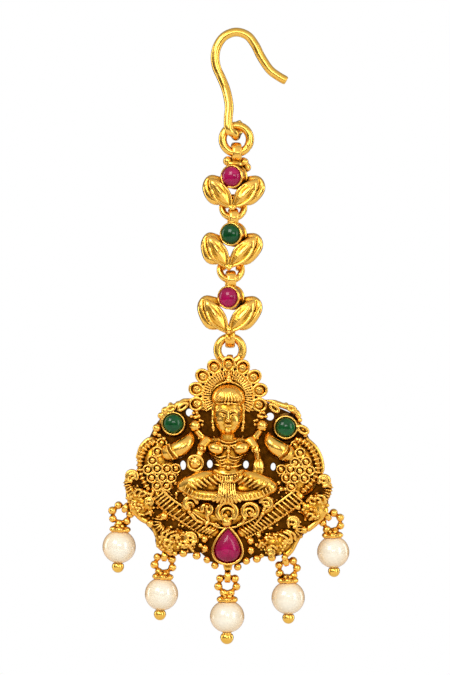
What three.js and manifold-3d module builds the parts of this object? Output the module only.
// Antique-gold maang tikka: a forehead pendant on three leaf links below a hair hook.
// Millimetres, +Z up. The front faces -Y, and the origin is the inside top of the hook's bend,
// where the hook sits in the hair and the jewel hangs from it.
import * as THREE from 'three';
import { mergeVertices } from 'three/addons/utils/BufferGeometryUtils.js';
import Module from 'manifold-3d';

const wasm = await Module();
wasm.setup();

// ---------- driving dimensions ----------
const GAP = 0.3; // clearance kept between separate pieces
const STONE_GAP = 0.16; // clearance of a stone in its bezel

const HOOK_WIRE = 1.6; // diameter of the hook's wire
const EYE_REACH = 1.9; // hook's eye: distance from the top ring's wire to the hook's wire

// jump rings, all facing the front: centre, outer diameter and wire diameter
const RINGS = {
  top_ring: { x: 0.34, z: -18.5, outer: 6.4, wire: 1.5, lean: 0 },
  ring_2: { x: -0.03, z: -30.8, outer: 5.1, wire: 1.2, lean: 18 },
  ring_3: { x: -0.28, z: -42.0, outer: 5.1, wire: 1.2, lean: 18 },
  pendant_ring: { x: -0.19, z: -56.4, outer: 6.0, wire: 1.48, lean: 0 },
};

// leaf links: centre of the bezel's face, lowest tip of the leaves, and the leaves' reach each way
const LINKS = [
  { x: -0.49, z: -25.3, tipX: -0.23, tipZ: -31.3, left: 5.0, right: 5.5, above: 'top_ring', below: 'ring_2' },
  { x: -0.47, z: -35.65, tipX: -0.67, tipZ: -42.1, left: 4.7, right: 5.7, above: 'ring_2', below: 'ring_3' },
  {
    x: -0.72, z: -47.0, tipX: -0.61, tipZ: -53.7, left: 5.2, right: 5.7, above: 'ring_3', below: 'pendant_ring',
  },
];
const LINK_TURN = 22; // degrees that each link's bezel turns towards the wearer's right (-X)
const LINK_STONE_R = 1.75;
const BEZEL_WALL = 0.4;
const CUP_DEPTH = 3.4; // depth of a link's bezel cup
const CUP_FACE_Y = -2.3;

// pendant, front to back
const BACK_Y = 1.0; // flat back of the pendant
const PLATE_Y = -1.2; // front of the main plate
const HALO = { x: -0.42, z: -64.75, r: 5.85 }; // ring of petals behind the head
const HALO_BACK_Y = -1.05; // back of the halo's top, clear of the pendant ring
const PETALS = 9;
const PETAL_SPAN = 228; // degrees that the petals take up round the head
const PETAL_R = 1.25;
const PETAL_FRONT_Y = -2.6;
const HALO_FRONT_Y = -2.0; // front of the disc behind the petals
const HALO_DISC_R = 5.9;
const CROWN_R = 4.9; // disc behind the head, from the pendant's back to the halo's front
const BAND_FRONT_Y = -2.9; // front of the ribbed bands above the teardrop
const POCKET_Y = -2.2; // floor of the pendant's stone pockets
const POCKET_OPEN_Y = -4.4; // in front of every bezel, so that the pockets are open
const RUBY_DROP = { x: -0.05, z: -91.4, halfWidth: 2.25, halfHeight: 2.95 };
const RUBY_WALL = 0.55; // thickness of the teardrop's bezel
const RUBY_BEZEL_Y = -3.3; // front of that bezel
const RUBY_BACK_Y = -2.4;
const RUBY_GIRDLE_Y = -3.4; // where the teardrop's dome starts
const TEARDROP_SIDES = 20;
const EMERALDS = [
  { name: 'emerald_left', x: -10.16, z: -69.75 },
  { name: 'emerald_right', x: 10.0, z: -70.1 },
];
const EMERALD_R = 1.68;
const EMERALD_WALL = 0.5;
const EMERALD_FACE_Y = -3.2;

// hanging drops, left to right: ring centre, splay in degrees, pearl and ball sizes
// eyeAt is the place round the ring, in degrees from its top, where the pendant's eye holds it
const DROPS = [
  { x: -19.35, z: -86.3, splay: -2.4, toPearl: 5.85, pearl: 3.0, toBall: 3.6, ball: 1.1, eyeAt: 36 },
  { x: -11.5, z: -95.1, splay: -3.5, toPearl: 5.45, pearl: 3.0, toBall: 3.65, ball: 1.1, eyeAt: 8 },
  { x: 0.0, z: -98.6, splay: 0.4, toPearl: 5.8, pearl: 3.1, toBall: 3.8, ball: 1.2, eyeAt: 0 },
  { x: 10.8, z: -95.6, splay: 1.8, toPearl: 5.25, pearl: 3.0, toBall: 3.6, ball: 1.1, eyeAt: -18 },
  { x: 18.65, z: -87.1, splay: 3.2, toPearl: 5.4, pearl: 2.9, toBall: 3.45, ball: 1.07, eyeAt: -43 },
];
const DROP_RING_R = 1.45; // middle radius of a drop's beaded ring
const DROP_RING_WIRE = 0.75;
const DROP_BEAD_R = 0.62;
const DROP_BEADS = 6;
const DROP_EYE_THICK = 0.64; // thickness of the pendant's eyes
const DROP_EYE_WIDE = 0.9;
const CAP_RIM_R = 2.15; // where the cap's underside ends
const PEARL_BORE_R = 0.5;
const PIN_R = 0.25;
const PIN_BELOW_TOP = 0.2; // the pin ends this far below the pearl's top
const BALL_GAP = 0.2; // clearance between a pearl and the gold ball under it

const GIRDLE = 0.75; // height of a round stone's straight edge
const DOME = 0.5; // height of its dome over its radius

const ROUND_SIDES = 16; // facets round a bezel or a stone

// ---------- materials ----------
const antiqueGold = new THREE.MeshStandardMaterial({ color: 0xc9962e, metalness: 1, roughness: 0.32 });
const brightGold = new THREE.MeshStandardMaterial({ color: 0xf0b83c, metalness: 1, roughness: 0.22 });
const ruby = new THREE.MeshStandardMaterial({ color: 0xb00a4c, metalness: 0, roughness: 0.08 });
const emerald = new THREE.MeshStandardMaterial({ color: 0x0b5a2c, metalness: 0, roughness: 0.08 });
const pearl = new THREE.MeshStandardMaterial({ color: 0xf5ead6, metalness: 0, roughness: 0.2 });

// ---------- solids ----------
const rad = THREE.MathUtils.degToRad;

/** A closed solid of a closed geometry, with its faces pointing out. */
function solidOf(geometry) {
  const bare = geometry.clone();
  bare.deleteAttribute('normal');
  bare.deleteAttribute('uv');
  const merged = mergeVertices(bare, 1e-4);
  const index = merged.index.array;
  const kept = [];
  for (let i = 0; i < index.length; i += 3) {
    const [a, b, c] = [index[i], index[i + 1], index[i + 2]];
    if (a !== b && b !== c && a !== c) kept.push(a, b, c);
  }
  const p = merged.attributes.position;
  const [va, vb, vc] = [new THREE.Vector3(), new THREE.Vector3(), new THREE.Vector3()];
  let volume = 0;
  for (let i = 0; i < kept.length; i += 3) {
    va.fromBufferAttribute(p, kept[i]);
    vb.fromBufferAttribute(p, kept[i + 1]);
    vc.fromBufferAttribute(p, kept[i + 2]);
    volume += va.dot(vb.cross(vc));
  }
  if (volume < 0) kept.reverse();
  return new wasm.Manifold(new wasm.Mesh({
    numProp: 3,
    vertProperties: Float32Array.from(p.array),
    triVerts: Uint32Array.from(kept),
  }));
}

function geometryOf(solid) {
  const mesh = solid.getMesh();
  const geometry = new THREE.BufferGeometry();
  geometry.setAttribute('position', new THREE.BufferAttribute(mesh.vertProperties, 3));
  geometry.setIndex(new THREE.BufferAttribute(mesh.triVerts, 1));
  return geometry;
}

/** Soldered metal: all the pieces joined into one solid. */
const solder = (pieces) => pieces.reduce((whole, piece) => whole.add(piece));

/** An ellipsoid; turn is in degrees about the front-to-back axis. */
function pebble({ x, y, z, rx, ry = rx, rz = rx, turn = 0, sides = 8, rows = 5 }) {
  const shape = new THREE.SphereGeometry(1, sides, rows);
  shape.rotateX(Math.PI / 2);
  shape.scale(rx, ry, rz);
  shape.rotateY(rad(turn));
  shape.translate(x, y, z);
  return solidOf(shape);
}

const bead = (x, y, z, r) => pebble({ x, y, z, rx: r, sides: 7, rows: 4 });

/** A disc or rod along Y, from yBack to yFront. */
function disc({ x, z, r, yBack, yFront, sides = 20 }) {
  const shape = new THREE.CylinderGeometry(r, r, yBack - yFront, sides);
  shape.translate(x, (yBack + yFront) / 2, z);
  return solidOf(shape);
}

/** A slab along Y, from yBack to yFront, whose outline is a closed list of [x, z]. */
function slab(outline, yBack, yFront) {
  const shape = new THREE.Shape(outline.map(([x, z]) => new THREE.Vector2(x, z)));
  const geometry = new THREE.ExtrudeGeometry(shape, { depth: yBack - yFront, bevelEnabled: false });
  geometry.rotateX(Math.PI / 2);
  geometry.translate(0, yBack, 0);
  return solidOf(geometry);
}

/** A flat ring of wire whose section is an ellipse: wide across its plane, thick within it. */
function wireRing({ r, thick, wide = thick, around = 16, sides = 6 }) {
  const tube = r / 2;
  const shape = new THREE.TorusGeometry(r, tube, sides, around);
  const p = shape.attributes.position;
  for (let i = 0; i < p.count; i++) {
    const across = Math.hypot(p.getX(i), p.getY(i));
    const grow = (r + ((across - r) * thick) / 2 / tube) / across;
    p.setXYZ(i, p.getX(i) * grow, p.getY(i) * grow, (p.getZ(i) * wide) / 2 / tube);
  }
  return shape;
}

/** A round-ended limb along a smooth curve through points [x, y, z, radius]. */
function limb(points, { sides = 6, steps = 7 } = {}) {
  const curve = new THREE.CatmullRomCurve3(points.map(([x, y, z]) => new THREE.Vector3(x, y, z)));
  const length = curve.getLength();
  const radii = points.map((p) => p[3]);
  const radiusAt = (t) => {
    const at = t * (radii.length - 1);
    const low = Math.min(Math.floor(at), radii.length - 2);
    const plain = THREE.MathUtils.lerp(radii[low], radii[low + 1], at - low);
    const end = Math.min(1, (Math.min(t, 1 - t) * length) / plain);
    return plain * Math.sqrt(1 - (1 - end) ** 2);
  };
  const profile = [new THREE.Vector2(0, 0)];
  for (let i = 1; i < steps; i++) profile.push(new THREE.Vector2(radiusAt(i / steps), i / steps));
  profile.push(new THREE.Vector2(0, 1));
  const shape = new THREE.LatheGeometry(profile, sides);
  const p = shape.attributes.position;
  const front = new THREE.Vector3(0, -1, 0);
  for (let i = 0; i < p.count; i++) {
    const t = THREE.MathUtils.clamp(p.getY(i), 0, 1);
    const tangent = curve.getTangent(t);
    const side = new THREE.Vector3().crossVectors(front, tangent).normalize();
    const out = new THREE.Vector3().crossVectors(tangent, side);
    const at = curve.getPoint(t).addScaledVector(side, p.getX(i)).addScaledVector(out, p.getZ(i));
    p.setXYZ(i, at.x, at.y, at.z);
  }
  return solidOf(shape);
}

/** A round wire along a smooth open curve, with flat cut ends. */
function wire(curve, diameter, { sides = 10, steps = 40 } = {}) {
  const section = new THREE.Shape();
  for (let i = 0; i < sides; i++) {
    const angle = (2 * Math.PI * i) / sides;
    const [x, y] = [(diameter / 2) * Math.cos(angle), (diameter / 2) * Math.sin(angle)];
    if (i === 0) section.moveTo(x, y);
    else section.lineTo(x, y);
  }
  return solidOf(new THREE.ExtrudeGeometry(section, { steps, bevelEnabled: false, extrudePath: curve }));
}

// ---------- rings ----------
const ringRadius = (ring) => (ring.outer - ring.wire) / 2;

/** Middle of a ring's wire near its top (+1) or its bottom (-1), at a distance across from its middle. */
function ringWire(name, way, across = 0) {
  const ring = RINGS[name];
  const r = way * Math.sqrt(ringRadius(ring) ** 2 - across ** 2);
  const slope = THREE.MathUtils.radToDeg(Math.asin(across / ringRadius(ring)));
  const y = r * Math.sin(rad(ring.lean));
  return { x: ring.x + across, y, z: ring.z + r * Math.cos(rad(ring.lean)), wire: ring.wire, slope };
}

function jumpRing(name) {
  const ring = RINGS[name];
  const shape = wireRing({ r: ringRadius(ring), thick: ring.wire, around: 18, sides: 7 });
  shape.rotateX(Math.PI / 2 - rad(ring.lean));
  shape.translate(ring.x, 0, ring.z);
  return solidOf(shape);
}

/** A loop in the vertical plane that runs front to back, round a ring's wire. */
function eyeRound(at, { wide, thick, slack = GAP, around = 12, sides = 6, turn = 0 }) {
  const shape = wireRing({ r: at.wire / 2 + slack + thick / 2, thick, wide, around, sides });
  shape.rotateY(Math.PI / 2 + rad(at.slope));
  shape.rotateZ(rad(turn));
  shape.translate(at.x, at.y, at.z);
  return solidOf(shape);
}

// ---------- hook ----------
/** The wire leaves its free end, bends over the top and runs down to an eye round the top ring. */
function hook() {
  const ring = RINGS.top_ring;
  const bend = [
    [9.2, 0, -7.85], [7.67, 0, -7.0], [6.1, 0, -5.8], [4.52, 0, -3.5], [3.46, 0, -1.5], [2.05, 0, 0.2],
    [-0.03, 0, HOOK_WIRE / 2], [-2.09, 0, 0.0], [-3.34, 0, -1.8], [-3.7, 0, -3.8], [-3.37, 0, -5.7],
    [-2.57, 0, -7.4], [-1.76, -0.15, -9.3], [-1.3, -0.6, -11.0], [-1.02, -1.2, -12.9], [-1.15, -1.65, -14.7],
  ];
  const eye = [];
  // turn is the angle round the ring's wire, from its front, under it, to behind and over it;
  // along is the place on the ring, in degrees from its top
  for (const [turn, along] of [[8, -39], [50, -24], [90, -8], [135, 6], [180, 18], [225, 2], [262, -18]]) {
    const r = ringRadius(ring) - EYE_REACH * Math.sin(rad(turn));
    eye.push([
      ring.x + r * Math.sin(rad(along)),
      -EYE_REACH * Math.cos(rad(turn)),
      ring.z + r * Math.cos(rad(along)),
    ]);
  }
  const path = new THREE.CatmullRomCurve3([...bend, ...eye].map((p) => new THREE.Vector3(...p)));
  return wire(path, HOOK_WIRE, { sides: 8, steps: 46 });
}

// ---------- leaf links ----------
/** One pointed leaf, a fat almond that runs from the link's tip outwards. */
function leaf(tip, end, { y, thick, fat }) {
  const middle = [(tip[0] + end[0]) / 2, (tip[1] + end[1]) / 2];
  const length = Math.hypot(end[0] - tip[0], end[1] - tip[1]);
  const turn = THREE.MathUtils.radToDeg(Math.atan2(end[1] - tip[1], end[0] - tip[0]));
  return pebble({ x: middle[0], y, z: middle[1], rx: length / 2, ry: thick, rz: fat, turn: -turn, rows: 5 });
}

function cup(link) {
  const outerR = LINK_STONE_R + BEZEL_WALL;
  const shape = new THREE.CylinderGeometry(outerR, outerR, CUP_DEPTH, ROUND_SIDES);
  shape.translate(0, CUP_DEPTH / 2, 0);
  const pocket = new THREE.CylinderGeometry(LINK_STONE_R + STONE_GAP, LINK_STONE_R + STONE_GAP, 2, ROUND_SIDES);
  const turned = (geometry) => solidOf(geometry.rotateZ(rad(-LINK_TURN)).translate(link.x, CUP_FACE_Y, link.z));
  return { body: turned(shape), pocket: turned(pocket) };
}

function linkBody(link) {
  const above = ringWire(link.above, -1);
  const below = ringWire(link.below, 1);
  const { body, pocket } = cup(link);
  const last = link.below === 'pendant_ring';
  const leafY = last ? -1.75 : -1.65;
  const left = [link.tipX - link.left, link.z - 0.8];
  const right = [link.tipX + link.right, link.z - 0.6];
  const pieces = [
    body,
    eyeRound(above, { wide: 1.7, thick: 0.76, slack: GAP + 0.14, turn: -8 }),
    leaf([link.tipX + 0.3, link.tipZ + 0.45], left, { y: leafY, thick: 0.75, fat: 1.5 }),
    leaf([link.tipX - 0.3, link.tipZ + 0.45], right, { y: leafY, thick: 0.75, fat: 1.5 }),
    pebble({ x: left[0] + 2.3, y: -0.4, z: link.z - 1.9, rx: 2.4, ry: 1.2, rz: 1.5, turn: 35, rows: 4 }),
    pebble({ x: right[0] - 2.3, y: -0.4, z: link.z - 1.8, rx: 2.4, ry: 1.2, rz: 1.5, turn: -35, rows: 4 }),
  ];
  if (link.above === 'top_ring') {
    pieces.push(bead(above.x - 1.4, -0.2, link.z + 2.8, 0.8));
    pieces.push(bead(above.x + 1.5, 0.1, link.z + 2.7, 0.8));
    pieces.push(pebble({ x: above.x + 0.1, y: -0.6, z: link.z + 2.3, rx: 1.7, ry: 0.9, rz: 0.8 }));
  }
  if (last) {
    pieces.push(eyeRound(below, { wide: 1.8, thick: 0.85, slack: GAP + 0.08 }));
    pieces.push(bead(link.tipX + 0.1, -1.9, link.tipZ + 0.1, 0.55));
    pieces.push(bead(link.tipX + 0.15, -1.95, link.tipZ - 0.85, 0.45));
  } else {
    pieces.push(pebble({ x: below.x, y: -1.35, z: below.z - 0.4, rx: 2.2, ry: 0.75, rz: 1.0, rows: 4 }));
    for (const side of [-1, 1]) {
      const lugAt = ringWire(link.below, 1, 1.2 * side);
      pieces.push(eyeRound(lugAt, { wide: 0.8, thick: 0.7, slack: 0.36, around: 10 }));
    }
  }
  return solder(pieces).subtract(pocket);
}

/** A round cabochon: a short girdle under a low dome, facing -Y. */
function cabochon(r, sides = ROUND_SIDES) {
  const dome = DOME * r;
  const profile = [new THREE.Vector2(0, 0), new THREE.Vector2(r, 0), new THREE.Vector2(r, GIRDLE)];
  for (const step of [30, 60]) {
    profile.push(new THREE.Vector2(r * Math.cos(rad(step)), GIRDLE + dome * Math.sin(rad(step))));
  }
  profile.push(new THREE.Vector2(0, GIRDLE + dome));
  return new THREE.LatheGeometry(profile, sides).rotateX(Math.PI).translate(0, 1 - STONE_GAP, 0);
}

const linkStone = (link) => (
  solidOf(cabochon(LINK_STONE_R).rotateZ(rad(-LINK_TURN)).translate(link.x, CUP_FACE_Y, link.z)));

// ---------- pendant ----------
const PLATE_OUTLINE = [
  [-6.2, -65.0], [-8.6, -66.3], [-11.6, -67.6], [-13.4, -70.0], [-14.6, -72.6], [-16.0, -75.5], [-16.1, -78.0],
  [-17.8, -79.6], [-18.1, -83.0], [-17.2, -85.6], [-15.3, -87.8], [-13.2, -90.2], [-11.4, -92.6], [-8.2, -93.4],
  [-5.0, -93.2], [-3.2, -94.8], [0.0, -95.6], [3.1, -94.8], [5.2, -93.5], [8.2, -93.8], [11.0, -93.0],
  [13.2, -90.2], [15.2, -88.0], [17.1, -85.8], [17.6, -83.0], [17.4, -80.0], [16.2, -78.2], [16.1, -75.6],
  [14.6, -72.6], [13.4, -70.2], [11.8, -67.9], [8.6, -66.6], [5.4, -65.0],
];

// see-through windows of the plate: two above the peacocks' crests and four beside the figure
const WINDOWS = [
  { x: -7.3, z: -67.8, halfX: 0.65, halfZ: 0.7 },
  { x: 7.2, z: -68.3, halfX: 0.7, halfZ: 0.7 },
  { x: -8.3, z: -77.3, halfX: 0.7, halfZ: 1.1 },
  { x: -3.4, z: -77.0, halfX: 0.55, halfZ: 0.9 },
  { x: 2.9, z: -77.0, halfX: 0.55, halfZ: 0.9 },
  { x: 7.9, z: -77.3, halfX: 0.7, halfZ: 1.1 },
];

function plate() {
  const body = slab(PLATE_OUTLINE, BACK_Y, PLATE_Y);
  const crown = disc({ x: HALO.x, z: HALO.z, r: CROWN_R, yBack: BACK_Y, yFront: HALO_FRONT_Y });
  const rim = disc({ x: HALO.x, z: HALO.z, r: HALO_DISC_R, yBack: HALO_BACK_Y, yFront: HALO_FRONT_Y });
  return solder([body, crown, rim]);
}

function window({ x, z, halfX, halfZ }) {
  const shape = new THREE.CylinderGeometry(1, 1, 8, 8).scale(halfX, 1, halfZ);
  return solidOf(shape.translate(x, 0, z));
}

/** The ring of petals behind the head, as one scalloped slab. */
function petals() {
  const outline = [];
  const perPetal = 4;
  const petalTurn = PETAL_SPAN / PETALS;
  for (let i = 0; i <= PETALS * perPetal; i++) {
    const a = rad(-PETAL_SPAN / 2 + (i / perPetal) * petalTurn);
    const r = HALO.r + PETAL_R * Math.abs(Math.sin((Math.PI * i) / perPetal)) ** 0.7;
    outline.push([HALO.x + r * Math.sin(a), HALO.z + r * Math.cos(a)]);
  }
  return slab(outline, HALO_BACK_Y, PETAL_FRONT_Y);
}

function figure() {
  const head = [
    pebble({ x: -0.3, y: -2.7, z: -66.4, rx: 3.1, ry: 1.9, rz: 2.9, sides: 10 }),
    pebble({ x: -0.3, y: -3.3, z: -68.5, rx: 2.5, ry: 2.1, rz: 2.9, sides: 10 }),
    pebble({ x: -0.25, y: -2.2, z: -62.0, rx: 0.9, ry: 0.9, rz: 2.0 }),
  ];
  const torso = [
    pebble({ x: -0.3, y: -2.5, z: -72.0, rx: 1.5, ry: 1.4, rz: 1.6 }),
    pebble({ x: -0.1, y: -1.9, z: -74.0, rx: 4.5, ry: 1.8, rz: 2.2 }),
    pebble({ x: -2.3, y: -3.3, z: -73.9, rx: 1.7, ry: 1.3, rz: 1.5 }),
    pebble({ x: 1.9, y: -3.3, z: -73.9, rx: 1.7, ry: 1.3, rz: 1.5 }),
    pebble({ x: -0.2, y: -2.4, z: -77.0, rx: 2.5, ry: 1.6, rz: 2.8 }),
    pebble({ x: 0.0, y: -2.4, z: -79.2, rx: 2.9, ry: 1.8, rz: 1.4 }),
  ];
  const arms = [
    limb([[-4.2, -1.8, -73.2, 1.1], [-5.1, -2.4, -74.6, 1.0], [-5.9, -3.4, -76.6, 0.9]]),
    limb([[4.1, -1.8, -73.2, 1.1], [4.9, -2.4, -74.8, 1.0], [5.2, -3.4, -76.6, 0.9]]),
    limb([[-4.4, -1.5, -72.8, 0.9], [-6.4, -1.8, -71.8, 0.8], [-6.3, -2.4, -70.1, 0.9]]),
    limb([[4.3, -1.5, -72.8, 0.9], [6.1, -1.8, -71.8, 0.8], [5.9, -2.4, -70.2, 0.9]]),
    pebble({ x: -6.0, y: -3.7, z: -76.8, rx: 1.6, ry: 1.1, rz: 1.6 }),
    pebble({ x: 5.2, y: -3.6, z: -77.0, rx: 1.15, ry: 1.0, rz: 2.2 }),
    bead(-6.2, -1.8, -68.7, 0.9),
    bead(5.8, -1.8, -68.8, 0.9),
  ];
  const legs = [
    limb([[-1.0, -2.6, -79.6, 1.4], [-4.6, -3.0, -79.6, 1.6], [-7.3, -3.0, -80.7, 1.9],
      [-4.2, -3.6, -82.3, 1.5], [-0.8, -3.6, -82.4, 1.2]], { steps: 9 }),
    limb([[1.0, -2.6, -79.6, 1.4], [4.4, -3.0, -79.6, 1.6], [6.9, -3.0, -80.7, 1.9], [4.0, -3.6, -82.3, 1.5],
      [0.8, -3.6, -82.4, 1.2]], { steps: 9 }),
    pebble({ x: 0.0, y: -3.7, z: -82.1, rx: 1.5, ry: 1.3, rz: 2.2 }),
  ];
  return [...head, ...torso, ...arms, ...legs];
}

/** Curls and stamens of the lotus below the crossed legs. */
function lotus() {
  const curls = [
    [-6.6, -83.9, 1.4], [-4.0, -85.2, 1.5], [-0.36, -85.9, 1.8], [3.85, -84.9, 1.5], [6.2, -84.0, 1.3],
  ];
  const pads = curls.map(([x, z, r]) => pebble({ x, y: -2.5, z, rx: r, ry: 1.5, rz: r }));
  return [...pads, bead(-0.45, -3.6, -87.5, 0.95)];
}

const PEACOCK = {
  neck: [[6.9, -2.2, -71.6, 0.8], [8.4, -2.6, -72.7, 1.5], [10.6, -2.4, -73.6, 2.2], [12.4, -1.9, -76.2, 2.9],
    [12.2, -1.7, -79.4, 2.6], [10.4, -1.7, -81.8, 1.8]],
  back: [[12.6, -1.2, -72.9, 0.9], [14.6, -1.3, -75.4, 1.2], [15.4, -1.3, -78.0, 1.3], [14.2, -1.3, -81.2, 1.2]],
  crest: [[6.9, -1.6, -66.2, 0.5], [8.6, -1.8, -66.9, 0.9], [10.4, -1.6, -67.7, 0.9], [12.0, -1.4, -68.4, 0.8]],
};

/** One large peacock: side is -1 for the left and +1 for the right. */
function peacock(side, stone) {
  const mirror = (points) => points.map(([x, y, z, r]) => [side * x, y, z, r]);
  return [
    limb(mirror(PEACOCK.neck), { sides: 8, steps: 10 }),
    limb(mirror(PEACOCK.back)),
    limb(mirror(PEACOCK.crest)),
    bead(stone.x + side * 3.1, -1.6, stone.z - 0.6, 0.8),
    disc({
      x: stone.x, z: stone.z, r: EMERALD_R + EMERALD_WALL, yBack: 0, yFront: EMERALD_FACE_Y,
      sides: ROUND_SIDES,
    }),
  ];
}

/** The two ridged bands that meet in a V above the teardrop. */
function bands() {
  return [-1, 1].map((side) => slab([
    [side * 13.9, -81.0], [side * 2.0, -88.0], [side * 1.6, -89.6], [side * 3.2, -90.3], [side * 14.2, -83.9],
  ], 0, BAND_FRONT_Y));
}

/** Four small birds, each a plump body with a curl over it. */
function birds() {
  const rows = [
    { x: -15.6, z: -83.4, turn: 35, curlX: -17.3, curlZ: -79.7 },
    { x: 15.3, z: -83.8, turn: -35, curlX: 17.2, curlZ: -80.2 },
    { x: -9.0, z: -90.6, turn: 28, curlX: -10.4, curlZ: -88.0 },
    { x: 9.3, z: -91.0, turn: -28, curlX: 11.0, curlZ: -88.6 },
  ];
  return rows.flatMap(({ x, z, turn, curlX, curlZ }) => [
    pebble({ x, y: -1.6, z, rx: 3.4, ry: 1.9, rz: 2.5, turn }),
    pebble({ x: curlX, y: -1.4, z: curlZ, rx: 1.35, ry: 1.3, rz: 1.35 }),
  ]);
}

/** Teardrop outline, its point up, grown outwards by grow. */
function teardrop(grow) {
  const { x, z, halfWidth, halfHeight } = RUBY_DROP;
  const widest = 0.79; // largest half width that the unscaled curve reaches
  const outline = [];
  for (let i = 0; i < TEARDROP_SIDES; i++) {
    const a = (2 * Math.PI * i) / TEARDROP_SIDES;
    const across = (Math.sin(a) * Math.sin(a / 2) ** 0.9) / widest;
    outline.push([x + (halfWidth + grow) * across, z + (halfHeight + grow) * Math.cos(a)]);
  }
  return outline;
}

function rubySetting() {
  return {
    body: slab(teardrop(RUBY_WALL), BACK_Y, RUBY_BEZEL_Y),
    pocket: slab(teardrop(STONE_GAP), POCKET_Y, POCKET_OPEN_Y),
  };
}

function rubyDrop() {
  const girdle = slab(teardrop(0), RUBY_BACK_Y, RUBY_GIRDLE_Y);
  const { x, z } = RUBY_DROP;
  const dome = pebble({ x, y: -3.3, z: z - 0.7, rx: 1.85, ry: 0.9, rz: 1.95, sides: 14 });
  return girdle.add(dome);
}

/** Point at a distance from the middle of a drop's ring, in the direction of its eye. */
function towardsEye(drop, reach) {
  const a = rad(drop.eyeAt);
  return [drop.x + reach * Math.sin(a), 0, drop.z + reach * Math.cos(a)];
}

/** The pendant's eye that a drop's ring hangs in, upright and front to back, on a short stem. */
function dropEye(drop) {
  const r = DROP_RING_WIRE / 2 + GAP + DROP_EYE_THICK / 2;
  const shape = wireRing({ r, thick: DROP_EYE_THICK, wide: DROP_EYE_WIDE, around: 10 });
  shape.rotateY(Math.PI / 2).rotateY(rad(drop.eyeAt)).translate(...towardsEye(drop, DROP_RING_R));
  const stemFrom = DROP_RING_R + DROP_RING_WIRE / 2 + GAP + 0.1;
  const stem = limb([[...towardsEye(drop, stemFrom), 0.5], [...towardsEye(drop, stemFrom + 2), 0.7]], { steps: 4 });
  return solidOf(shape).add(stem);
}

function pendantBody() {
  const ring = ringWire('pendant_ring', -1);
  const setting = rubySetting();
  const joined = solder([
    plate(),
    petals(),
    ...figure(),
    ...lotus(),
    ...peacock(-1, EMERALDS[0]),
    ...peacock(1, EMERALDS[1]),
    ...bands(),
    ...birds(),
    eyeRound(ring, { wide: 1.3, thick: 0.5, around: 14 }),
    setting.body,
    ...DROPS.map(dropEye),
  ]);
  const pockets = EMERALDS.map(({ x, z }) => (
    disc({ x, z, r: EMERALD_R + STONE_GAP, yBack: POCKET_Y, yFront: POCKET_OPEN_Y, sides: ROUND_SIDES })));
  const cuts = [setting.pocket, ...pockets, ...WINDOWS.map(window)];
  return cuts.reduce((whole, cut) => whole.subtract(cut), joined);
}

// ---------- drops ----------
/** Puts a geometry, made about the ring's centre, where the drop hangs. */
const hang = (geometry, drop) => geometry.rotateY(-rad(drop.splay)).translate(drop.x, 0, drop.z);

/** A ring that swells into beads and is thinnest where the pendant's eye holds it. */
function beadedRing(drop) {
  const thinnest = rad(drop.eyeAt + drop.splay);
  const shape = new THREE.TorusGeometry(DROP_RING_R, 1, 6, 4 * DROP_BEADS);
  const p = shape.attributes.position;
  for (let i = 0; i < p.count; i++) {
    const across = Math.hypot(p.getX(i), p.getY(i));
    const swell = Math.abs(Math.cos((DROP_BEADS / 2) * (Math.atan2(p.getX(i), p.getY(i)) - thinnest)));
    const r = THREE.MathUtils.lerp(DROP_RING_WIRE / 2, DROP_BEAD_R, 1 - swell);
    const middle = DROP_RING_R + (1 - swell) * (DROP_BEAD_R - DROP_RING_WIRE / 2);
    const wanted = middle + (across - DROP_RING_R) * r;
    p.setXYZ(i, (p.getX(i) * wanted) / across, (p.getY(i) * wanted) / across, p.getZ(i) * r);
  }
  return shape.rotateX(Math.PI / 2);
}

/** Beaded ring with the flower cap soldered under it. */
function dropCap(drop) {
  const seat = drop.pearl + GAP; // the cap follows the pearl's top at this radius
  const rim = CAP_RIM_R;
  const under = (r) => -drop.toPearl + Math.sqrt(seat ** 2 - r ** 2);
  const profile = [
    [0, under(0)], [rim * 0.5, under(rim * 0.5)], [rim, under(rim)], [rim + 0.25, under(rim) + 0.3],
    [1.7, under(1.7) + 0.65], [0.9, under(0.9) + 0.75], [0, -DROP_RING_R - 0.1],
  ];
  const shape = new THREE.LatheGeometry(profile.map(([r, z]) => new THREE.Vector2(r, z)), 10);
  return solidOf(hang(beadedRing(drop), drop)).add(solidOf(hang(shape.rotateX(Math.PI / 2), drop)));
}

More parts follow.
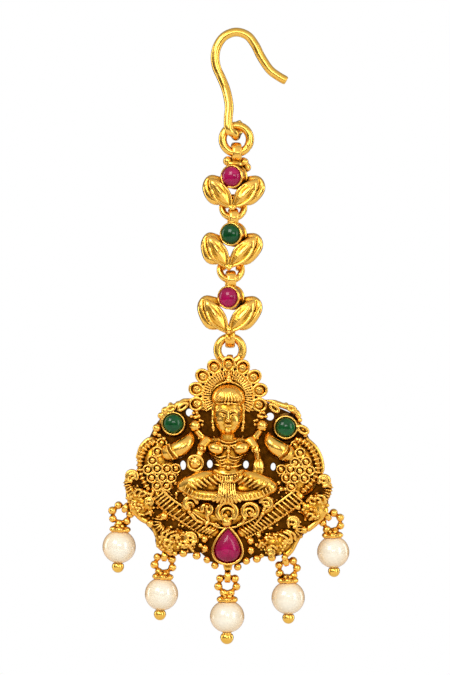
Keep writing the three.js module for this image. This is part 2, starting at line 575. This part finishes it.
function dropPearl(drop) {
  const profile = [];
  const steps = 9;
  const start = Math.asin(PEARL_BORE_R / drop.pearl);
  for (let i = 0; i <= steps; i++) {
    const a = start + ((Math.PI - 2 * start) * i) / steps;
    profile.push(new THREE.Vector2(drop.pearl * Math.sin(a), -drop.pearl * Math.cos(a)));
  }
  profile.push(profile[0].clone());
  const shape = new THREE.LatheGeometry(profile, 14).rotateX(Math.PI / 2).translate(0, 0, -drop.toPearl);
  return solidOf(hang(shape, drop));
}

/** Head pin through the pearl, with the gold ball seated under it. */
function dropPin(drop) {
  const low = -drop.toPearl - drop.toBall;
  const seat = (r) => -drop.toPearl - Math.sqrt((drop.pearl + BALL_GAP) ** 2 - r ** 2);
  const profile = [[0, low - drop.ball]];
  for (const a of [30, 60, 90]) {
    profile.push([drop.ball * Math.sin(rad(a)), low - drop.ball * Math.cos(rad(a))]);
  }
  profile.push([0.9 * drop.ball, seat(0.9 * drop.ball)], [PIN_R, seat(PIN_R)]);
  const top = -drop.toPearl + drop.pearl - PIN_BELOW_TOP;
  profile.push([PIN_R, top], [0, top]);
  const shape = new THREE.LatheGeometry(profile.map(([r, z]) => new THREE.Vector2(r, z)), 10);
  return solidOf(hang(shape.rotateX(Math.PI / 2), drop));
}

// ---------- assembly ----------
const jewel = new THREE.Group();

function addPiece(name, solid, material) {
  const mesh = new THREE.Mesh(geometryOf(solid), material);
  mesh.name = name;
  jewel.add(mesh);
}

addPiece('hook', hook(), brightGold);
for (const name of Object.keys(RINGS)) addPiece(name, jumpRing(name), brightGold);
LINKS.forEach((link, i) => {
  addPiece(`link_${i + 1}`, linkBody(link), antiqueGold);
  addPiece(`link_${i + 1}_stone`, linkStone(link), i === 1 ? emerald : ruby);
});
addPiece('pendant', pendantBody(), antiqueGold);
for (const { name, x, z } of EMERALDS) {
  addPiece(name, solidOf(cabochon(EMERALD_R).translate(x, EMERALD_FACE_Y, z)), emerald);
}
addPiece('ruby_drop', rubyDrop(), ruby);
DROPS.forEach((drop, i) => {
  addPiece(`drop_${i + 1}_cap`, dropCap(drop), antiqueGold);
  addPiece(`drop_${i + 1}_pearl`, dropPearl(drop), pearl);
  addPiece(`drop_${i + 1}_pin`, dropPin(drop), brightGold);
});

export default jewel;
